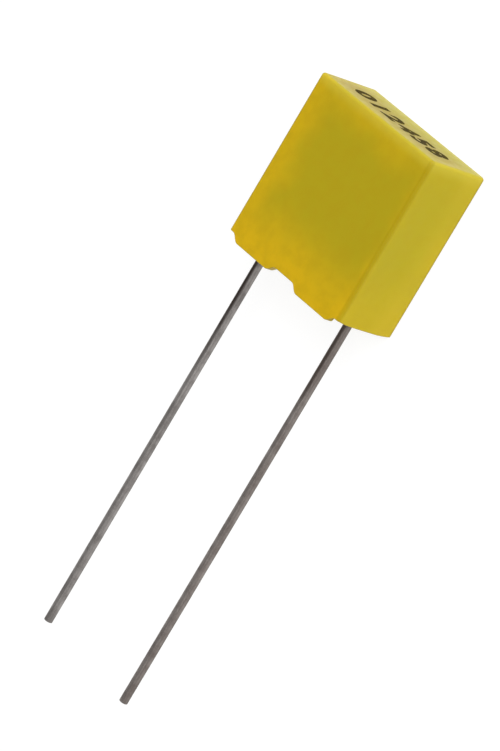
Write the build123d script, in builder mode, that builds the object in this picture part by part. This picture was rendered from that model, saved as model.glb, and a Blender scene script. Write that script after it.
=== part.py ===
"""Boxed polyester film capacitor with two straight wire leads.

The capacitor lies on the back one of its two large faces.
X runs along the length of the case, from the left lead to the right lead.
Y points from the open mouth of the case to its marked face, so the leads run along -Y.
Z is up, and the origin is the centre of the back face, on the surface that the part lies on.
"""

import os
from math import radians, tan

from build123d import *

# ---- Driving dimensions, in millimetres and degrees ----

# leads
lead_pitch = 7.5
lead_diameter = 0.5
left_lead_reach = 23.9      # from the mouth rim to the cut end
right_lead_reach = 24.3
cut_bevel = 0.04            # bevel that the cutter leaves on a lead's free end
head_thickness = 0.34       # inside the case the wire is pressed flat, for welding
head_width = 0.72
neck_length = 1.0           # from the round wire, at the mouth rim, to its flat head
weld_length = 4.5           # how far the head runs up its end contact
weld_depth = 0.06           # how far the head is pressed into its end contact

# case
case_thickness = 4.4
case_height = 9.9           # from the mouth rim to the marked face, without the feet
wall = 0.5
marked_wall = 0.6           # wall behind the marked face
lead_clearance = 0.4        # between a lead and the end wall beside it, at the mouth
edge_radius = 0.18          # outer edges of the case
cavity_radius = 0.3         # inner corners of the case
cavity_draft = 0.8          # lean of the inner walls, which open towards the mouth

# stand-off feet on the mouth rim, two on each large wall
foot_height = 0.38
corner_notch = 0.43         # bare rim between a foot and the nearest corner
mid_recess = 1.7            # bare rim between the two feet of a wall
foot_slope = 0.42           # how far a foot's side leans in over its height
foot_radius = 0.14          # rounding at the lower corners of a foot

# winding and its sprayed end contacts
contact_thickness = 0.3
side_gap = 0.2              # resin between the winding and the large walls, at the closed end
closed_gap = 0.35           # resin between the winding and the closed end of the case
mouth_gap = 1.1             # from the mouth rim to the winding

# resin fill
resin_level = 0.3           # from the mouth rim down to the level of the resin
resin_climb = 0.14          # how far the resin climbs up the walls
collar_height = 0.14        # how far the resin climbs up a lead
climb_edge = 0.04           # thickness of the climbed resin at its upper edge


# ---- Sizes and places worked out from them ----

def draft_inset(depth):
    """How far a wall of the cavity has leaned in at this depth below the mouth rim."""
    return depth * tan(radians(cavity_draft))


lead_x = lead_pitch / 2
lead_radius = lead_diameter / 2
mid_z = case_thickness / 2
mouth_y = -case_height / 2
foot_y = mouth_y - foot_height
resin_y = mouth_y + resin_level

cavity_length = lead_pitch + lead_diameter + 2 * lead_clearance
cavity_width = case_thickness - 2 * wall
cavity_depth = case_height - marked_wall
case_length = cavity_length + 2 * wall

winding_thickness = cavity_width - 2 * (side_gap + draft_inset(cavity_depth))
winding_height = cavity_depth - closed_gap - mouth_gap
winding_y = mouth_y + mouth_gap + winding_height / 2
contact_face_x = lead_x - head_thickness / 2 + weld_depth
winding_end_x = contact_face_x - contact_thickness
weld_end_y = mouth_y + mouth_gap + weld_length

mouth = Plane(origin=(0, mouth_y, mid_z), x_dir=(1, 0, 0), z_dir=(0, 1, 0))
sides = {"left": -1, "right": 1}

os.makedirs("parts", exist_ok=True)


# ---- Case: a box moulded in one piece, closed at the marked face, with feet on its rim ----

with BuildPart() as cavity:
    with BuildSketch(mouth):
        RectangleRounded(cavity_length, cavity_width, cavity_radius)
    extrude(amount=cavity_depth, taper=cavity_draft)
    closed_end = cavity.faces().sort_by(Axis.Y)[-1]
    fillet(closed_end.edges(), radius=cavity_radius / 2)

with BuildSketch() as feet:
    inner_root = mid_recess / 2
    outer_root = case_length / 2 - corner_notch
    with BuildLine():
        Polyline(
            (inner_root, mouth_y),
            (inner_root + foot_slope, foot_y),
            (outer_root - foot_slope, foot_y),
            (outer_root, mouth_y),
            close=True,
        )
    make_face()
    fillet(feet.vertices().group_by(Axis.Y)[0], radius=foot_radius)
    mirror(about=Plane.YZ)

with BuildPart() as case:
    with BuildSketch(mouth):
        Rectangle(case_length, case_thickness)
    extrude(amount=case_height)
    upright_edges = case.edges().filter_by(Axis.Y)
    marked_edges = case.faces().sort_by(Axis.Y)[-1].edges()
    fillet(upright_edges + marked_edges, radius=edge_radius)
    for outer_face, inward in ((0, 1), (case_thickness, -1)):
        with BuildSketch(Plane.XY.offset(outer_face)):
            add(feet.sketch)
        extrude(amount=inward * wall)
    add(cavity.part, mode=Mode.SUBTRACT)

case.part.label = "case"
export_step(case.part, "parts/case.step")


# ---- Film winding: a roll of metallised film, pressed flat ----

with BuildPart() as film_winding:
    with BuildSketch(Plane.YZ.offset(-winding_end_x)):
        with Locations((winding_y, mid_z)):
            SlotOverall(winding_height, winding_thickness)
    extrude(amount=2 * winding_end_x)

film_winding.part.label = "film_winding"
export_step(film_winding.part, "parts/film_winding.step")


# ---- Leads: straight tinned wires with a flat head, each welded to the end contact on its side ----

def make_lead(side, reach):
    neck_start = Plane(origin=(side * lead_x, mouth_y, mid_z), x_dir=(1, 0, 0), z_dir=(0, 1, 0))
    cut_end = neck_start.offset(-reach)
    head_start = neck_start.offset(neck_length)
    with BuildPart() as lead:
        with BuildSketch(cut_end):
            Circle(lead_radius)
        extrude(amount=reach)
        chamfer(lead.faces().sort_by(Axis.Y)[0].edges(), length=cut_bevel)
        with BuildSketch(neck_start):
            Circle(lead_radius)
        with BuildSketch(head_start):
            SlotOverall(head_width, head_thickness, rotation=90)
        loft()
        with BuildSketch(head_start):
            SlotOverall(head_width, head_thickness, rotation=90)
        extrude(amount=weld_end_y - head_start.origin.Y)
    return lead.part


def make_end_contact(side, lead):
    """Metal sprayed over one end of the winding, with the groove that its lead is welded into."""
    with BuildPart() as contact:
        with BuildSketch(Plane.YZ.offset(side * winding_end_x)):
            with Locations((winding_y, mid_z)):
                SlotOverall(winding_height, winding_thickness)
        extrude(amount=side * contact_thickness)
        add(lead, mode=Mode.SUBTRACT)
    return contact.part


leads = {
    "left": make_lead(sides["left"], left_lead_reach),
    "right": make_lead(sides["right"], right_lead_reach),
}
end_contacts = {name: make_end_contact(side, leads[name]) for name, side in sides.items()}

for name in sides:
    leads[name].label = f"lead_{name}"
    export_step(leads[name], f"parts/lead_{name}.step")
    end_contacts[name].label = f"end_contact_{name}"
    export_step(end_contacts[name], f"parts/end_contact_{name}.step")


# ---- Resin fill: cast round the winding, with a dished surface just inside the mouth ----

climbed_level = resin_level - resin_climb
pool_inset = 2 * (draft_inset(climbed_level) + climb_edge)
collar_radius = lead_radius + climb_edge

with BuildPart() as resin_fill:
    add(cavity.part)
    split(bisect_by=mouth.offset(climbed_level), keep=Keep.TOP)
    with BuildSketch(mouth.offset(climbed_level)):
        RectangleRounded(cavity_length - pool_inset, cavity_width - pool_inset, cavity_radius - climb_edge)
    extrude(amount=resin_climb, mode=Mode.SUBTRACT)
    resin_surface = resin_fill.faces().filter_by(Axis.Y).sort_by(Axis.Y)[1]
    fillet(resin_surface.edges(), radius=resin_climb - climb_edge / 2)
    for side in sides.values():
        on_lead_axis = Plane(origin=(side * lead_x, resin_y, mid_z))
        with BuildSketch(on_lead_axis):
            with BuildLine():
                foot_of_collar = (collar_radius + collar_height, 0)
                top_of_collar = (collar_radius, -collar_height)
                TangentArc(foot_of_collar, top_of_collar, tangent=(-1, 0))
                Polyline(top_of_collar, (0, -collar_height), (0, 0), foot_of_collar)
            make_face()
        revolve(axis=Axis(on_lead_axis.origin, (0, 1, 0)))
    for buried in (film_winding.part, *leads.values(), *end_contacts.values()):
        add(buried, mode=Mode.SUBTRACT)

resin_fill.part.label = "resin_fill"
export_step(resin_fill.part, "parts/resin_fill.step")
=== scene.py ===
"""Looks of the polyester film capacitor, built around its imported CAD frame.

Lengths are in metres; values written in millimetres are multiplied by mm.
The capacitor lies on its back wall, with its front wall up: X runs from the left lead to the right one,
Y from the mouth to the marked face, and Z up.
"""

from collections import namedtuple
from math import copysign, cos, hypot, pi, radians, sin, tan

import bmesh
import bpy
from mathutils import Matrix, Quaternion, Vector, noise


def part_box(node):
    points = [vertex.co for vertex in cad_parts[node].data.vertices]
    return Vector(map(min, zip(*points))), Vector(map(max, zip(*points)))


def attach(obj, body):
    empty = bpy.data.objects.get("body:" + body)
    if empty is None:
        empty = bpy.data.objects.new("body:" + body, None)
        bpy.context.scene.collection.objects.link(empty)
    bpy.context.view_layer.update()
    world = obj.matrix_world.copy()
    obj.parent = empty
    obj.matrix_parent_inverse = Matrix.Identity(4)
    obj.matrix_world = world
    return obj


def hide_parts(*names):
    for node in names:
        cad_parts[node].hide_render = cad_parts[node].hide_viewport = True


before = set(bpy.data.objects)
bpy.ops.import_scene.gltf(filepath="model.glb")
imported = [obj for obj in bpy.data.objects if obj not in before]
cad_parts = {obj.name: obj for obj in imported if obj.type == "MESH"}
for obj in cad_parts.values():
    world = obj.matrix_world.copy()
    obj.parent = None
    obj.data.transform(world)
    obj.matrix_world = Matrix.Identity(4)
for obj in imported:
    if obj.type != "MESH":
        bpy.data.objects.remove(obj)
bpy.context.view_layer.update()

mm = 0.001

# ---- Sizes of the case ----
CASE_LOW, CASE_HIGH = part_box("case")
FOOT_HEIGHT = 0.38 * mm
CORNER_NOTCH = 0.43 * mm            # bare rim between a foot and the nearest corner
MID_RECESS = 1.7 * mm               # bare rim between the two feet of a wall
FOOT_SLOPE = 0.42 * mm              # how far a foot's side leans in over its height
FOOT_ROUNDING = 0.12 * mm           # blend at the corners and roots of the feet
END_RIM_DROP = 0.09 * mm            # the rim of an end wall bulges by this much in its middle
WALL = 0.5 * mm
MARKED_WALL = 0.6 * mm              # wall behind the marked face
EDGE_RADIUS = 0.18 * mm             # outer edges
CAVITY_RADIUS = 0.3 * mm            # inner corners between the walls
CAVITY_END_RADIUS = 0.15 * mm       # inner edges round the closed end
CAVITY_DRAFT = radians(0.8)         # lean of the inner walls, which open towards the mouth
RIM_BEVEL = 0.05 * mm               # rounding on both sides of the rim
SINK = 0.04 * mm                    # shrinkage dip in the middle of each outer face

MID_Z = (CASE_LOW.z + CASE_HIGH.z) / 2
HALF_X = (CASE_HIGH.x - CASE_LOW.x) / 2
HALF_Z = (CASE_HIGH.z - CASE_LOW.z) / 2
MARKED_Y = CASE_HIGH.y
MOUTH_Y = CASE_LOW.y + FOOT_HEIGHT
CORE_X = HALF_X - EDGE_RADIUS       # the flat part of the outer walls ends here
CORE_Z = HALF_Z - EDGE_RADIUS
CAVITY_CORE_X = HALF_X - WALL - CAVITY_RADIUS
CAVITY_CORE_Z = HALF_Z - WALL - CAVITY_RADIUS

# ---- Sizes of the resin ----
RESIN_LEVEL = 0.3 * mm              # from the mouth rim down to the level of the resin
RESIN_CLIMB, CLIMB_REACH = 0.14 * mm, 0.24 * mm     # up the walls, and how far out from them
COLLAR_HEIGHT, COLLAR_REACH = 0.14 * mm, 0.2 * mm   # up a lead, and how far out from it
RESIN_WAVE = 0.012 * mm             # unevenness of the set surface
RESIN_WAVES_PER_MM = 0.9

# ---- Mesh spacing ----
STATION_STEP = 0.07 * mm            # round the case
ROW_STEP = 0.22 * mm                # down its outer walls
RESIN_STEP = 0.05 * mm              # across the surface of the resin
EDGE_LOOP = 0.02 * mm               # first row beside a rounded edge, which keeps the flats flat
ARC_STEPS = 6                       # round each rounded edge
CAVITY_ROWS = 12                    # rings down the walls of the cavity

# ---- Sizes of the leads ----
LEAD_BOXES = {side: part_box(f"lead_{side}") for side in ("left", "right")}
LEAD_X = {side: (low.x + high.x) / 2 for side, (low, high) in LEAD_BOXES.items()}
LEAD_RADIUS = (LEAD_BOXES["left"][1].x - LEAD_BOXES["left"][0].x) / 2
HEAD_THICKNESS = 0.34 * mm          # inside the case the wire is pressed flat
HEAD_WIDTH = 0.72 * mm
NECK_LENGTH = 1.0 * mm
CUT_BEVEL = 0.05 * mm
LEAD_SIDES = 64                     # points round a lead
LEAD_ROW = 0.12 * mm                # from ring to ring along it
TIN_WAVE = 0.007 * mm               # unevenness of the tin, always inwards
TIN_WAVES_PER_MM = 1.4

# ---- Sizes of the printed figures ----
FIGURES = "012458"
FIGURE_ROW_LENGTH = 7.35 * mm
FIGURE_ROW_HEIGHT = 1.5 * mm
FIGURE_SPACING = 1.25               # between the figures, times the usual
FIGURE_ROW_X = 0.03 * mm            # middle of the row, in X and
FIGURE_ROW_Z = 0.24 * mm            # in Z, from the middle of the marked face
FIGURE_WEIGHT = 0.055               # thickening of the strokes, as a share of the type size
FIGURE_WELD = 1e-4                  # caps and sides join within this share of the type size
FIGURE_CUT = 0.25 * mm              # the figures are cut this small, to follow the dished face
FIGURE_SLIVER = 0.0005 * mm         # what is thinner than this after the cuts goes
INK_LIFT = 0.003 * mm               # the ink stands this far out of the face
INK_BURY = 0.02 * mm                # and reaches this far into it


# ---- Shader helpers ----

# numbers of the colour sockets of a Mix node, which share their names with others
MIX_FIRST, MIX_SECOND, MIX_RESULT = 6, 7, 2


def new_material(name, color, roughness, metallic=0.0, specular=0.5):
    material = bpy.data.materials.new(name)
    material.use_nodes = True
    shader = material.node_tree.nodes["Principled BSDF"]
    shader.inputs["Base Color"].default_value = (*color, 1)
    shader.inputs["Roughness"].default_value = roughness
    shader.inputs["Metallic"].default_value = metallic
    shader.inputs["Specular IOR Level"].default_value = specular
    return material, material.node_tree, shader


def add_node(tree, kind, inputs=None, **settings):
    """A shader node of this kind; inputs holds values, or the sockets to link from."""
    node = tree.nodes.new(kind)
    for key, value in settings.items():
        setattr(node, key, value)
    for key, value in (inputs or {}).items():
        if isinstance(value, bpy.types.NodeSocket):
            tree.links.new(value, node.inputs[key])
        else:
            node.inputs[key].default_value = value
    return node


def millimetres(tree):
    """Object coordinates, counted in millimetres."""
    coordinates = add_node(tree, "ShaderNodeTexCoord").outputs["Object"]
    scaled = add_node(tree, "ShaderNodeVectorMath", {0: coordinates, "Scale": 1 / mm}, operation="SCALE")
    return scaled.outputs["Vector"]


def split(tree, vector):
    """The X, Y and Z of a vector."""
    return add_node(tree, "ShaderNodeSeparateXYZ", {0: vector}).outputs


def noise_value(tree, vector, scale, detail=3.0, roughness=0.5):
    inputs = {"Vector": vector, "Scale": scale, "Detail": detail, "Roughness": roughness}
    return add_node(tree, "ShaderNodeTexNoise", inputs).outputs["Fac"]


def remap(tree, value, span, to=(0, 1), easing="SMOOTHSTEP"):
    """The value taken from one span to another, and held at the ends."""
    inputs = {"Value": value}
    inputs["From Min"], inputs["From Max"] = span
    inputs["To Min"], inputs["To Max"] = to
    return add_node(tree, "ShaderNodeMapRange", inputs, interpolation_type=easing).outputs["Result"]


def math_node(tree, operation, first, second=0.0):
    return add_node(tree, "ShaderNodeMath", {0: first, 1: second}, operation=operation).outputs["Value"]


def mix_color(tree, factor, first, second):
    """Colour between first and second; each is a colour or the socket of one."""
    node = tree.nodes.new("ShaderNodeMix")
    node.data_type = "RGBA"
    tree.links.new(factor, node.inputs["Factor"])
    for socket, value in ((node.inputs[MIX_FIRST], first), (node.inputs[MIX_SECOND], second)):
        if isinstance(value, bpy.types.NodeSocket):
            tree.links.new(value, socket)
        else:
            socket.default_value = (*value, 1)
    return node.outputs[MIX_RESULT]


def bump(tree, height, distance, strength, normal=None):
    inputs = {"Height": height, "Distance": distance, "Strength": strength}
    if normal is not None:
        inputs["Normal"] = normal
    return add_node(tree, "ShaderNodeBump", inputs).outputs["Normal"]


def facing_shares(tree):
    """How far the surface faces along each axis, either way: 1 squarely, 0 not at all."""
    normal = add_node(tree, "ShaderNodeNewGeometry").outputs["Normal"]
    shares = add_node(tree, "ShaderNodeVectorMath", {0: normal}, operation="ABSOLUTE")
    return split(tree, shares.outputs["Vector"])


def paint(obj, material):
    obj.data.materials.clear()
    obj.data.materials.append(material)


# ---- Case plastic ----

# where the colour changes, in millimetres
BACKED_MIDDLE_X = 0.6           # middle of the area that the winding backs
BACKED_WOBBLE = 0.5             # how far the border of that area strays
BACK_HEIGHTS = (2.3, 0.7)       # between these heights a face turns to its colour near the back face
SHADE_MARGIN = 0.1             # painted shade on an upright edge reaches this far past its rounding
SHADE_X = (-4, 4)              # painted shade on the upright edges grows from none at the left end to full at the right end
HIGHLIGHT_REACH = 1.2              # a painted highlight runs along an edge of the marked face this far onto the face
HIGHLIGHT_DROP = 0.8               # and this far down the walls

SQUARELY = (0.85, 1.0)          # between these facing shares a surface turns to the colour of its side


def from_middle(tree, axes, middle_x=0.0):
    """Distances of a place, in X from middle_x and in Z from the middle of the case."""
    offset_x = math_node(tree, "SUBTRACT", axes["X"], middle_x)
    offset_z = math_node(tree, "SUBTRACT", axes["Z"], MID_Z / mm)
    return math_node(tree, "ABSOLUTE", offset_x), math_node(tree, "ABSOLUTE", offset_z)


def upright_edge_mask(tree, axes):
    """0 on the walls of the case, rising to 0.66 in the middle of the rounded edge between two of them."""
    past = []
    for value, core in zip(from_middle(tree, axes), (CORE_X / mm, CORE_Z / mm)):
        rounding = (core - SHADE_MARGIN, core + EDGE_RADIUS / mm)
        past.append(remap(tree, value, rounding, easing="LINEAR"))
    return math_node(tree, "MULTIPLY", *past)


def marked_edge_mask(tree, axes):
    """1 along the edges of the marked face, falling to 0 some way onto it and down the walls."""
    off_edges = []
    for value, border in zip(from_middle(tree, axes), (HALF_X / mm, HALF_Z / mm)):
        near_border = remap(tree, value, (border - HIGHLIGHT_REACH, border))
        off_edges.append(math_node(tree, "SUBTRACT", 1.0, near_border))
    near_edge = math_node(tree, "SUBTRACT", 1.0, math_node(tree, "MULTIPLY", *off_edges))
    up_wall = remap(tree, axes["Y"], (MARKED_Y / mm - HIGHLIGHT_DROP, MARKED_Y / mm))
    return math_node(tree, "MINIMUM", up_wall, near_edge)


def unbacked_mask(tree, place, axes, facing):
    """0 where the winding backs the wall, rising towards the edges of each face, less on the end walls."""
    patches = noise_value(tree, place, scale=0.35, detail=2)
    wobble = remap(tree, patches, (0.25, 0.75), (-BACKED_WOBBLE, BACKED_WOBBLE))
    from_mid_x, from_mid_z = from_middle(tree, axes, BACKED_MIDDLE_X)
    to_mouth = math_node(tree, "MULTIPLY", axes["Y"], -1.0)
    # each band's axis, the distance along it in millimetres, where the band rises, and how high
    bands = (
        ("X", from_mid_x, (3.0, 5.1), 0.75),
        ("Z", from_mid_z, (1.2, 2.6), 0.75),
        ("Y", to_mouth, (0.9, 5.2), 1.0),
        ("Y", axes["Y"], (2.6, 5.6), 0.7),
    )
    most = None
    for axis, distance, rise, height in bands:
        band = remap(tree, math_node(tree, "ADD", distance, wobble), rise, (0, height))
        not_facing = math_node(tree, "SUBTRACT", 1.0, facing[axis])
        band = math_node(tree, "MULTIPLY", band, not_facing)
        most = band if most is None else math_node(tree, "MAXIMUM", most, band)
    less_on_ends = remap(tree, facing["X"], (0, 1), (1, 0.45))
    return math_node(tree, "MULTIPLY", most, less_on_ends)


def case_color(tree, place, olive):
    """Olive over the winding and warmer round it, with lit copies of it on the end walls and marked face as
    painted light.

    The edges of the marked face carry a painted highlight, and the upright edges painted shade.
    """
    warm = (0.63, 0.40, 0.002)
    deep, deep_share = (0.42, 0.285, 0.001), 0.3
    # painted light: lit copies of the olive for the end walls and the marked face, paler towards the back
    # face
    end_lit_front, end_lit_back, end_lit_share = (0.50, 0.43, 0.008), (0.61, 0.50, 0.024), 0.32
    marked_lit_front, marked_lit_back, marked_lit_share = (0.40, 0.30, 0.003), (0.475, 0.42, 0.014), 0.8
    # colour of the painted highlight along the edges of the marked face
    bright, highlight_share = (0.655, 0.57, 0.06), 0.42
    # colour of the painted shade on the upright edges
    edge_shade, edge_shade_share = (0.30, 0.215, 0.0005), 0.8

    axes = split(tree, place)
    facing = facing_shares(tree)
    color = mix_color(tree, unbacked_mask(tree, place, axes, facing), olive, warm)
    patches = noise_value(tree, place, scale=1.3, detail=3, roughness=0.6)
    color = mix_color(tree, remap(tree, patches, (0.35, 0.7), (0, deep_share)), color, deep)

    back = remap(tree, axes["Z"], BACK_HEIGHTS)
    end_wall_lit = mix_color(tree, back, end_lit_front, end_lit_back)
    color = mix_color(tree, remap(tree, facing["X"], SQUARELY, (0, end_lit_share)), color, end_wall_lit)
    marked_face_lit = mix_color(tree, back, marked_lit_front, marked_lit_back)
    color = mix_color(tree, remap(tree, facing["Y"], SQUARELY, (0, marked_lit_share)), color, marked_face_lit)

    # painted highlight along the edges of the marked face
    painted_highlight = math_node(tree, "MULTIPLY", marked_edge_mask(tree, axes), highlight_share)
    color = mix_color(tree, painted_highlight, color, bright)
    # painted shade along the rounded upright edges, growing towards the right end
    edge_shading = remap(tree, axes["X"], SHADE_X, (0, edge_shade_share))
    edge_shading = math_node(tree, "MULTIPLY", upright_edge_mask(tree, axes), edge_shading)
    return mix_color(tree, edge_shading, color, edge_shade)


def make_case_plastic():
    """Yellow moulded plastic, a little translucent, with a soft grain."""
    olive = (0.42, 0.328, 0.004)
    material, tree, shader = new_material("case_plastic", olive, roughness=0.4, specular=0.17)
    shader.inputs["Subsurface Weight"].default_value = 0.12
    shader.inputs["Subsurface Radius"].default_value = (1.0, 0.6, 0.12)
    shader.inputs["Subsurface Scale"].default_value = 0.25 * mm
    place = millimetres(tree)
    tree.links.new(case_color(tree, place, olive), shader.inputs["Base Color"])
    sheen = remap(tree, noise_value(tree, place, scale=2.5, detail=5), (0.3, 0.7), (0.33, 0.45))
    tree.links.new(sheen, shader.inputs["Roughness"])
    soft = noise_value(tree, place, scale=0.9, detail=2)
    grain = noise_value(tree, place, scale=14, detail=4, roughness=0.65)
    normal = bump(tree, soft, distance=0.03 * mm, strength=0.35)
    normal = bump(tree, grain, distance=0.004 * mm, strength=0.5, normal=normal)
    tree.links.new(normal, shader.inputs["Normal"])
    return material


# ---- Tinned wire ----

# places on a wire, in millimetres
CASE_SHADE_FULL = 3.0                # down to here from the mouth rim the painted shade is full
CASE_SHADE_WOBBLE = 1.5              # how far the border of the painted shade strays
FLANK_TURN = (0, 0.2)           # between these distances from the axis the -X side turns to the +X side

# Colours, and how dark the -X side and the +X side are: a painted dark reflection all along, and painted
# shade beside the case. The painted shade ends at the length in the last entry, from the mouth rim, in
# millimetres.
WIRE_LOOKS = {
    "left": {
        "bright": (0.465, 0.44, 0.425),
        "dull": (0.265, 0.247, 0.237),
        "painted_dark": (0.08, 0.064, 0.056),
        "dark_reflection": (0.07, 0.28),
        "case_shade": (1.0, 0.3),
        "case_shade_length": 9.5,
    },
    "right": {
        "bright": (0.47, 0.43, 0.405),
        "dull": (0.27, 0.24, 0.225),
        "painted_dark": (0.085, 0.06, 0.048),
        "dark_reflection": (0.12, 0.48),
        "case_shade": (0.85, 0.6),
        "case_shade_length": 7,
    },
}


def wire_painted_darkness(tree, axes, patches, axis_x, looks):
    """How dark the wire is at a place, from 0 to 1: a painted dark reflection all along, and painted shade
    beside the case.
    """
    across = math_node(tree, "SUBTRACT", axes["X"], axis_x / mm)
    dark_reflection = remap(tree, across, FLANK_TURN, looks["dark_reflection"])
    case_shade = remap(tree, across, FLANK_TURN, looks["case_shade"])
    down = math_node(tree, "SUBTRACT", MOUTH_Y / mm, axes["Y"])
    wobble = remap(tree, patches, (0.2, 0.8), (-CASE_SHADE_WOBBLE, CASE_SHADE_WOBBLE))
    down = math_node(tree, "ADD", down, wobble)
    beside_case = remap(tree, down, (CASE_SHADE_FULL, looks["case_shade_length"]), (1, 0))
    return math_node(tree, "MAXIMUM", math_node(tree, "MULTIPLY", beside_case, case_shade), dark_reflection)


def make_tinned_wire(side):
    """Dull bright tin with drawing streaks and oxide patches, a painted dark reflection all along and painted
    shade beside the case.
    """
    looks = WIRE_LOOKS[side]
    name = f"tinned_wire_{side}"
    material, tree, shader = new_material(name, looks["bright"], roughness=0.42, metallic=1.0)
    shader.inputs["Specular Tint"].default_value = (0.55, 0.54, 0.53, 1)
    place = millimetres(tree)
    drawn_out, streak_share = (1, 0.06, 1), 0.35
    stretched = add_node(tree, "ShaderNodeVectorMath", {0: place, 1: drawn_out}, operation="MULTIPLY")
    streaks = noise_value(tree, stretched.outputs["Vector"], scale=16, detail=5, roughness=0.6)
    patches = noise_value(tree, place, scale=1.1, detail=5, roughness=0.65)
    streaky = math_node(tree, "ADD", patches, math_node(tree, "MULTIPLY", streaks, streak_share))
    tin = mix_color(tree, remap(tree, streaky, (0.5, 0.85)), looks["bright"], looks["dull"])
    darkness = wire_painted_darkness(tree, split(tree, place), patches, LEAD_X[side], looks)
    # painted dark reflection and painted shade darken the tin
    tree.links.new(mix_color(tree, darkness, tin, looks["painted_dark"]), shader.inputs["Base Color"])
    tree.links.new(remap(tree, patches, (0.3, 0.7), (0.36, 0.5)), shader.inputs["Roughness"])
    dimples = noise_value(tree, place, scale=5, detail=3)
    normal = bump(tree, streaks, distance=0.006 * mm, strength=0.5)
    normal = bump(tree, dimples, distance=0.01 * mm, strength=0.4, normal=normal)
    tree.links.new(normal, shader.inputs["Normal"])
    return material


# ---- Other materials ----

def make_ink():
    """Dark printed ink, thin in places so that the yellow shows through."""
    dark, thin = (0.05, 0.034, 0.001), (0.19, 0.14, 0.004)
    material, tree, shader = new_material("print_ink", dark, roughness=0.6, specular=0.02)
    place = millimetres(tree)
    gaps = remap(tree, noise_value(tree, place, scale=5.5, detail=5, roughness=0.7), (0.5, 0.72))
    tree.links.new(mix_color(tree, gaps, dark, thin), shader.inputs["Base Color"])
    grain = noise_value(tree, place, scale=30, detail=3)
    tree.links.new(bump(tree, grain, distance=0.002 * mm, strength=0.6), shader.inputs["Normal"])
    return material


def make_resin():
    """Glossy cast resin with a rippled surface and small trapped bubbles."""
    clear, cloudy = (0.43, 0.33, 0.03), (0.50, 0.40, 0.055)
    material, tree, shader = new_material("resin", clear, roughness=0.14)
    place = millimetres(tree)
    clouds = remap(tree, noise_value(tree, place, scale=0.5, detail=4), (0.35, 0.65))
    tree.links.new(mix_color(tree, clouds, clear, cloudy), shader.inputs["Base Color"])
    cells = add_node(tree, "ShaderNodeTexVoronoi", {"Vector": place, "Scale": 1.6}).outputs["Distance"]
    pits = remap(tree, cells, (0.05, 0.16))
    ripples = noise_value(tree, place, scale=0.8, detail=2)
    normal = bump(tree, pits, distance=0.03 * mm, strength=0.5)
    normal = bump(tree, ripples, distance=0.08 * mm, strength=0.6, normal=normal)
    tree.links.new(normal, shader.inputs["Normal"])
    return material


def make_film():
    """Metallised film seen on its turns: silvery, with fine lines where turn lies on turn."""
    light, dark = (0.62, 0.63, 0.65), (0.38, 0.39, 0.41)
    material, tree, shader = new_material("metallised_film", light, roughness=0.25, metallic=0.9)
    waves = {"Vector": millimetres(tree), "Scale": 6, "Distortion": 1.5, "Detail": 2}
    lines = add_node(tree, "ShaderNodeTexWave", waves, bands_direction="Z").outputs["Fac"]
    tree.links.new(mix_color(tree, lines, dark, light), shader.inputs["Base Color"])
    tree.links.new(bump(tree, lines, distance=0.01 * mm, strength=0.5), shader.inputs["Normal"])
    return material


def make_sprayed_metal():
    """Grainy zinc spray on the ends of the winding."""
    light, dark = (0.42, 0.42, 0.43), (0.20, 0.20, 0.21)
    material, tree, shader = new_material("sprayed_metal", light, roughness=0.65, metallic=0.8)
    grains = noise_value(tree, millimetres(tree), scale=9, detail=6, roughness=0.7)
    color = mix_color(tree, remap(tree, grains, (0.35, 0.65)), dark, light)
    tree.links.new(color, shader.inputs["Base Color"])
    tree.links.new(bump(tree, grains, distance=0.05 * mm, strength=0.8), shader.inputs["Normal"])
    return material


# ---- Mesh helpers ----

class Skin:
    """Points and faces of one piece, laid down ring by ring."""

    def __init__(self):
        self.points = []
        self.faces = []
        self.ring = None

    def join(self, ring):
        """Faces from the last ring to this one, given as point numbers.

        Where the rings share a point, the face is a triangle.
        """
        ring = list(ring)
        if self.ring is not None:
            for i in range(len(ring)):
                j = (i + 1) % len(ring)
                corners = (self.ring[i], self.ring[j], ring[j], ring[i])
                self.faces.append(tuple(dict.fromkeys(corners)))
        self.ring = ring

    def add_ring(self, points):
        first = len(self.points)
        self.points += points
        self.join(range(first, len(self.points)))

    def close(self):
        """One flat face inside the last ring."""
        self.faces.append(tuple(self.ring))

    def piece(self, name):
        mesh = bpy.data.meshes.new(name)
        mesh.from_pydata([tuple(point) for point in self.points], [], self.faces)
        work = bmesh.new()
        work.from_mesh(mesh)
        bmesh.ops.recalc_face_normals(work, faces=work.faces)
        work.to_mesh(mesh)
        work.free()
        mesh.shade_smooth()
        piece = bpy.data.objects.new(name, mesh)
        bpy.context.scene.collection.objects.link(piece)
        return piece


def spread(start, end, step, edge_loop=0.0):
    """Values from start to end about a step apart, with one more close to each end if asked."""
    count = max(2, round(abs(end - start) / step))
    inner = [start + (end - start) * k / count for k in range(1, count)]
    if edge_loop:
        toward = copysign(edge_loop, end - start)
        inner = [start + toward, *inner, end - toward]
    return [start, *inner, end]


def quarter_turn():
    return [pi / 2 * k / ARC_STEPS for k in range(ARC_STEPS + 1)]


def unevenness(x, y, z, waves_per_mm):
    """Smooth noise at this place, from 0 to 1."""
    return 0.5 + 0.5 * noise.noise(Vector((x, y, z)) * (waves_per_mm / mm))


def finish_piece(piece, material, slot, *nodes):
    paint(piece, material)
    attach(piece, "root")
    if nodes:
        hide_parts(*nodes)


# ---- Case ----

# A place on the ring round the case: x and z on the core rectangle, turn from 0 (a large wall) to 1 (an end
# wall) round a corner, along as the share of the wall's half length, drop as the rim's depth below the mouth.
Station = namedtuple("Station", "x z turn along drop")


def soft_min(a, b, blend):
    """The smaller of two values, rounded off where they cross."""
    overlap = max(blend - abs(a - b), 0) / blend
    return min(a, b) - overlap * overlap * blend / 4


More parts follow.
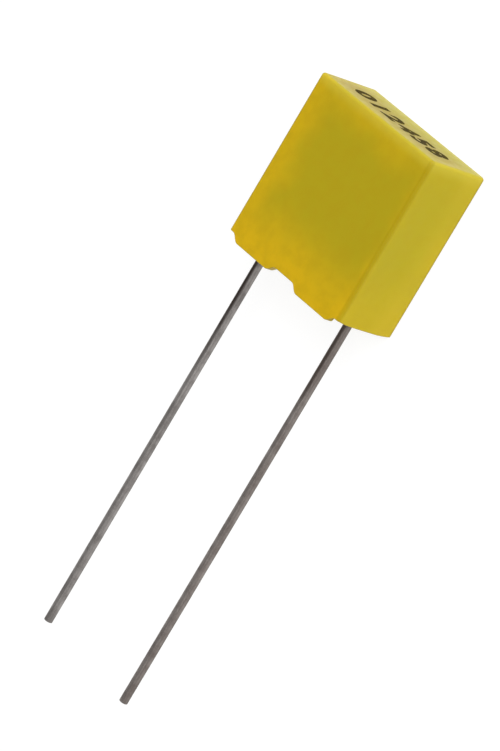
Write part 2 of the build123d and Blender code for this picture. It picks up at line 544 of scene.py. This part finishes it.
def foot_drop(x):
    """How far the rim of a large wall stands below the mouth at this distance from its middle."""
    inner = (abs(x) - MID_RECESS / 2) * FOOT_HEIGHT / FOOT_SLOPE
    outer = (HALF_X - CORNER_NOTCH - abs(x)) * FOOT_HEIGHT / FOOT_SLOPE
    flank = soft_min(inner, outer, FOOT_ROUNDING)
    foot = soft_min(flank, FOOT_HEIGHT, FOOT_ROUNDING)
    return -soft_min(-foot, 0.0, FOOT_ROUNDING)


def dip(share_a, share_b):
    """Depth of the shrinkage dip at a place given as shares of the face's half sides."""
    return SINK * (1 - share_a ** 2) ** 2 * (1 - share_b ** 2) ** 2


def marked_surface_y(x, z):
    return MARKED_Y - dip(x / CORE_X, z / CORE_Z)


def ring_stations(along_x, along_z):
    """Stations round the core rectangle that these two lists of places span, corners included."""
    core_x, core_z = along_x[-1], along_z[-1]
    walls = (
        [(x, core_z) for x in along_x],
        [(core_x, z) for z in reversed(along_z)],
        [(x, -core_z) for x in reversed(along_x)],
        [(-core_x, z) for z in along_z],
    )
    stations = []
    for number, wall in enumerate(walls):
        turn = number % 2
        for x, z in wall:
            along = z / core_z if turn else x / core_x
            drop = END_RIM_DROP * (1 - along ** 4) if turn else foot_drop(x)
            stations.append(Station(x, z, turn, along, drop))
        corner = stations[-1]
        for k in range(1, ARC_STEPS):
            share = k / ARC_STEPS
            stations.append(corner._replace(turn=1 - share if turn else share))
    return stations


def onto_cavity(station):
    """The same place on the cavity's ring, whose corners are larger.

    A corner of the case becomes the middle third of the cavity's, and the ends of its two walls the others.
    """
    if station.turn == 0:
        turn = max(0.0, (abs(station.x) - CAVITY_CORE_X) / (CORE_X - CAVITY_CORE_X)) / 3
    elif station.turn == 1:
        turn = 1 - max(0.0, (abs(station.z) - CAVITY_CORE_Z) / (CORE_Z - CAVITY_CORE_Z)) / 3
    else:
        turn = (1 + station.turn) / 3
    x = copysign(min(abs(station.x), CAVITY_CORE_X), station.x)
    z = copysign(min(abs(station.z), CAVITY_CORE_Z), station.z)
    return station._replace(x=x, z=z, turn=turn)


def beside(station, distance, y):
    """The point at this distance out from the core."""
    angle = station.turn * pi / 2
    x = station.x + copysign(distance * sin(angle), station.x)
    z = station.z + copysign(distance * cos(angle), station.z)
    return (x, y, MID_Z + z)


def cavity_distance(y):
    """How far the cavity's wall stands out from its core at this height; it leans in from the mouth up."""
    return CAVITY_RADIUS - max(0.0, y - MOUTH_Y) * tan(CAVITY_DRAFT)


def start_with_grid(skin, along_x, along_z, stations, surface_y):
    """A field of faces whose height is surface_y(x, z), with its border as the skin's first ring."""
    columns = len(along_z)
    skin.points += [(x, surface_y(x, z), MID_Z + z) for x in along_x for z in along_z]
    for i in range(len(along_x) - 1):
        for j in range(columns - 1):
            a = i * columns + j
            skin.faces.append((a, a + 1, a + columns + 1, a + columns))
    skin.join(along_x.index(s.x) * columns + along_z.index(s.z) for s in stations)


def line_cavity(skin, stations, start_y):
    """Rings down the leaning walls of the cavity, from start_y(station), and over its closed end."""
    cavity_end = MARKED_Y - MARKED_WALL
    bottom = cavity_end - CAVITY_END_RADIUS
    for share in spread(0, 1, 1 / CAVITY_ROWS)[1:]:
        ring = []
        for s in stations:
            start = start_y(s)
            y = start + (bottom - start) * share
            ring.append(beside(s, cavity_distance(y), y))
        skin.add_ring(ring)
    for angle in quarter_turn()[1:]:
        inset, y = CAVITY_END_RADIUS * (1 - cos(angle)), bottom + CAVITY_END_RADIUS * sin(angle)
        skin.add_ring([beside(s, cavity_distance(bottom) - inset, y) for s in stations])
    skin.close()


def make_case(material):
    along_x = spread(-CORE_X, CORE_X, STATION_STEP, EDGE_LOOP)
    along_z = spread(-CORE_Z, CORE_Z, STATION_STEP, EDGE_LOOP)
    outside = ring_stations(along_x, along_z)
    inside = [onto_cavity(station) for station in outside]
    skin = Skin()
    start_with_grid(skin, along_x, along_z, outside, marked_surface_y)

    # rounded edge of the marked face
    for angle in quarter_turn()[1:]:
        y = MARKED_Y - EDGE_RADIUS * (1 - cos(angle))
        skin.add_ring([beside(s, EDGE_RADIUS * sin(angle), y) for s in outside])

    # outer walls, down to the rim
    top = MARKED_Y - EDGE_RADIUS
    height = top - MOUTH_Y
    for share in spread(0, 1, ROW_STEP / height, EDGE_LOOP / height)[1:]:
        ring = []
        for s in outside:
            y = top + (MOUTH_Y - s.drop + RIM_BEVEL - top) * share
            ring.append(beside(s, EDGE_RADIUS - dip(s.along, 2 * share - 1), y))
        skin.add_ring(ring)

    # rim, from its outer bevel over to its inner bevel
    for angle in quarter_turn()[1:]:
        inset, lift = RIM_BEVEL * (1 - cos(angle)), RIM_BEVEL * (1 - sin(angle))
        skin.add_ring([beside(s, EDGE_RADIUS - inset, MOUTH_Y - s.drop + lift) for s in outside])
    for angle in reversed(quarter_turn()):
        inset, lift = RIM_BEVEL * (1 - cos(angle)), RIM_BEVEL * (1 - sin(angle))
        skin.add_ring([beside(s, CAVITY_RADIUS + inset, MOUTH_Y - s.drop + lift) for s in inside])

    line_cavity(skin, inside, lambda s: MOUTH_Y - s.drop + RIM_BEVEL)
    finish_piece(skin.piece("case_shell"), material, "case_plastic", "case")


# ---- Resin ----

def resin_surface_y(x, z, to_wall):
    """The resin's set surface: slightly uneven, climbing the walls of the case and both leads."""
    rise = RESIN_CLIMB * max(0.0, 1 - to_wall / CLIMB_REACH) ** 3
    for lead_x in LEAD_X.values():
        gap = max(0.0, hypot(x - lead_x, z) - LEAD_RADIUS)
        rise = max(rise, COLLAR_HEIGHT * max(0.0, 1 - gap / COLLAR_REACH) ** 3)
    wave = RESIN_WAVE * unevenness(x, 0.0, z, RESIN_WAVES_PER_MM) * (1 - rise / RESIN_CLIMB)
    return MOUTH_Y + RESIN_LEVEL - rise + wave


def make_resin_block(material):
    along_x = spread(-CAVITY_CORE_X, CAVITY_CORE_X, RESIN_STEP)
    along_z = spread(-CAVITY_CORE_Z, CAVITY_CORE_Z, RESIN_STEP)
    stations = ring_stations(along_x, along_z)
    climbed_y = MOUTH_Y + RESIN_LEVEL - RESIN_CLIMB
    to_core = cavity_distance(climbed_y)
    skin = Skin()
    start_with_grid(skin, along_x, along_z, stations, lambda x, z: resin_surface_y(x, z, to_core))
    for distance in spread(0, to_core, RESIN_STEP / 2)[1:]:
        ring = []
        for s in stations:
            x, _, z = beside(s, distance, 0)
            ring.append((x, resin_surface_y(x, z - MID_Z, to_core - distance), z))
        skin.add_ring(ring)
    line_cavity(skin, stations, lambda s: climbed_y)
    finish_piece(skin.piece("resin_block"), material, "resin", "resin_fill")


# ---- Printed figures ----

def figures_mesh():
    """The figures as the font draws them, as a slab about the plane z = 0."""
    text = bpy.data.curves.new("figures", "FONT")
    text.body = FIGURES
    text.offset = FIGURE_WEIGHT
    text.extrude = 1
    text.space_character = FIGURE_SPACING
    source = bpy.data.objects.new("figures", text)
    bpy.context.scene.collection.objects.link(source)
    depsgraph = bpy.context.evaluated_depsgraph_get()
    mesh = bpy.data.meshes.new_from_object(source.evaluated_get(depsgraph))
    bpy.data.objects.remove(source)
    return mesh


def stretch_to_row(work):
    """Brings the figures to the size and place of their row, with their own up as -Z of the case."""
    row = ((0, FIGURE_ROW_X, FIGURE_ROW_LENGTH), (1, -FIGURE_ROW_Z, FIGURE_ROW_HEIGHT))
    for axis, middle, length in row:
        places = [v.co[axis] for v in work.verts]
        start, scale = min(places), length / (max(places) - min(places))
        for v in work.verts:
            v.co[axis] = middle + (v.co[axis] - start) * scale - length / 2


def cut_small(work):
    """Cuts the figures along a grid, so that they can follow the dished face."""
    for axis, reach in (((1, 0, 0), HALF_X), ((0, 1, 0), HALF_Z)):
        for place in spread(-reach, reach, FIGURE_CUT):
            cut = {"plane_co": Vector(axis) * place, "plane_no": axis, "dist": FIGURE_SLIVER}
            bmesh.ops.bisect_plane(work, geom=[*work.verts, *work.edges, *work.faces], **cut)
    bmesh.ops.remove_doubles(work, verts=work.verts, dist=FIGURE_SLIVER)
    bmesh.ops.dissolve_degenerate(work, edges=work.edges, dist=FIGURE_SLIVER)


def make_figures(material):
    """One row of plain figures, laid on the dished marked face with their feet towards the front wall."""
    mesh = figures_mesh()
    work = bmesh.new()
    work.from_mesh(mesh)
    bmesh.ops.remove_doubles(work, verts=work.verts, dist=FIGURE_WELD)
    bmesh.ops.recalc_face_normals(work, faces=work.faces)
    stretch_to_row(work)
    cut_small(work)
    for v in work.verts:
        x, z = v.co.x, -v.co.y
        lift = INK_LIFT if v.co.z > 0 else -INK_BURY
        v.co = Vector((x, marked_surface_y(x, z) + lift, MID_Z + z))
    work.to_mesh(mesh)
    work.free()
    piece = bpy.data.objects.new("printed_figures", mesh)
    bpy.context.scene.collection.objects.link(piece)
    finish_piece(piece, material, "case_plastic")


# ---- Leads ----

def lead_section(angle, flatness):
    """A point of the wire's section, whose flatness goes from 0, round, to 1, the pressed head."""
    round_x, round_z = LEAD_RADIUS * cos(angle), LEAD_RADIUS * sin(angle)
    flat_x = HEAD_THICKNESS / 2 * cos(angle)
    flat_z = HEAD_THICKNESS / 2 * sin(angle) + copysign((HEAD_WIDTH - HEAD_THICKNESS) / 2, sin(angle))
    return round_x + (flat_x - round_x) * flatness, round_z + (flat_z - round_z) * flatness


def make_lead(side, material):
    low, high = LEAD_BOXES[side]
    axis_x = LEAD_X[side]
    skin = Skin()

    def add_section(y, shrink, flatness=0.0):
        """A ring of the wire at y, shrunk by this much all round."""
        ring = []
        for k in range(LEAD_SIDES):
            angle = 2 * pi * (k + 0.5) / LEAD_SIDES
            x, z = lead_section(angle, flatness)
            wave = TIN_WAVE * unevenness(axis_x + x, y, z, TIN_WAVES_PER_MM) * (1 - flatness)
            share = 1 - (shrink + wave) / LEAD_RADIUS
            ring.append((axis_x + x * share, y, MID_Z + z * share))
        skin.add_ring(ring)

    add_section(low.y, CUT_BEVEL)
    skin.close()
    for angle in quarter_turn()[1:]:
        add_section(low.y + CUT_BEVEL * (1 - cos(angle)), CUT_BEVEL * (1 - sin(angle)))
    for y in spread(low.y + CUT_BEVEL, MOUTH_Y, LEAD_ROW, EDGE_LOOP)[1:]:
        add_section(y, 0.0)
    for share in spread(0, 1, LEAD_ROW / NECK_LENGTH)[1:]:
        add_section(MOUTH_Y + NECK_LENGTH * share, 0.0, share)
    add_section(high.y, 0.0, 1.0)
    skin.close()
    finish_piece(skin.piece(f"lead_{side}_wire"), material, "tinned_wire", f"lead_{side}")


# ---- The object ----

make_case(make_case_plastic())
make_resin_block(make_resin())
make_figures(make_ink())
for side in LEAD_BOXES:
    make_lead(side, make_tinned_wire(side))

# the winding and its end contacts keep their CAD meshes
paint(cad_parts["film_winding"], make_film())
sprayed_metal = make_sprayed_metal()
for side in LEAD_BOXES:
    paint(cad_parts[f"end_contact_{side}"], sprayed_metal)


# ---- Camera ----

CAMERA_AIM = Vector((-1.0278, -11.1878, 1.3548)) * mm
CAMERA_AZIMUTH, CAMERA_ELEVATION, CAMERA_ROLL = radians(109.027), radians(47.796), radians(-73.626)
CAMERA_DISTANCE = 0.35
CAMERA_LENS, SENSOR_WIDTH = 314.89, 36      # in millimetres, as Blender's lenses are


def direction(azimuth, elevation):
    """Unit vector at these angles: azimuth 0 is in front of the mouth (-Y), and a quarter turn is at +X."""
    return Vector((sin(azimuth) * cos(elevation), -cos(azimuth) * cos(elevation), sin(elevation)))


def make_camera():
    towards = direction(CAMERA_AZIMUTH, CAMERA_ELEVATION)
    lens = bpy.data.cameras.new("camera")
    lens.sensor_width = SENSOR_WIDTH
    lens.lens = CAMERA_LENS
    camera = bpy.data.objects.new("camera", lens)
    bpy.context.scene.collection.objects.link(camera)
    camera.location = CAMERA_AIM + towards * CAMERA_DISTANCE
    camera.rotation_mode = "QUATERNION"
    camera.rotation_quaternion = towards.to_track_quat("Z", "Y") @ Quaternion((0, 0, 1), CAMERA_ROLL)
    bpy.context.scene.camera = camera


# ---- Floor and light ----

FLOOR_SIZE = 2.0
FLOOR_COLOR = (0.8, 0.8, 0.8)
BACKGROUND_COLOR = (0.2, 0.2, 0.2)          # what the camera sees of the floor's own colour, under its glow
BACKGROUND_GLOW = 0.86
SKY_LEVEL, CEILING_LEVEL = 0.62, 0.33       # brightness at the horizon and overhead
LIGHT_DISTANCE = 0.6


def make_floor():
    """A floor that lights the object as paper does and glows to the eye, so that its shadows stay faint."""
    bpy.ops.mesh.primitive_plane_add(size=FLOOR_SIZE)
    floor = bpy.context.object
    floor.name = "floor"
    material, tree, shader = new_material("floor_white", FLOOR_COLOR, roughness=0.9, specular=0.0)
    rays = add_node(tree, "ShaderNodeLightPath").outputs
    seen = math_node(tree, "MAXIMUM", rays["Is Camera Ray"], rays["Is Glossy Ray"])
    seen = math_node(tree, "MAXIMUM", seen, rays["Is Transmission Ray"])
    tree.links.new(mix_color(tree, seen, FLOOR_COLOR, BACKGROUND_COLOR), shader.inputs["Base Color"])
    shader.inputs["Emission Color"].default_value = (1, 1, 1, 1)
    tree.links.new(math_node(tree, "MULTIPLY", seen, BACKGROUND_GLOW), shader.inputs["Emission Strength"])
    paint(floor, material)


def make_world():
    """White light all round, dimmer overhead."""
    world = bpy.data.worlds.new("world")
    bpy.context.scene.world = world
    world.use_nodes = True
    tree = world.node_tree
    background = tree.nodes["Background"]
    background.inputs["Color"].default_value = (1, 1, 1, 1)
    outwards = add_node(tree, "ShaderNodeTexCoord").outputs["Generated"]
    level = remap(tree, split(tree, outwards)["Z"], (0, 1), (SKY_LEVEL, CEILING_LEVEL))
    tree.links.new(level, background.inputs["Strength"])


def make_light(name, azimuth, elevation, size, watts):
    """A square soft light that faces the case, at these angles in degrees."""
    light = bpy.data.lights.new(name, "AREA")
    light.size = size
    light.energy = watts
    lamp = bpy.data.objects.new(name, light)
    bpy.context.scene.collection.objects.link(lamp)
    towards = direction(radians(azimuth), radians(elevation))
    lamp.location = towards * LIGHT_DISTANCE
    lamp.rotation_mode = "QUATERNION"
    lamp.rotation_quaternion = towards.to_track_quat("Z", "Y")


make_camera()
make_floor()
make_world()
make_light("key", azimuth=135, elevation=42, size=0.7, watts=4.4)
make_light("fill", azimuth=330, elevation=15, size=0.5, watts=0.6)

bpy.context.scene.view_settings.view_transform = "Standard"
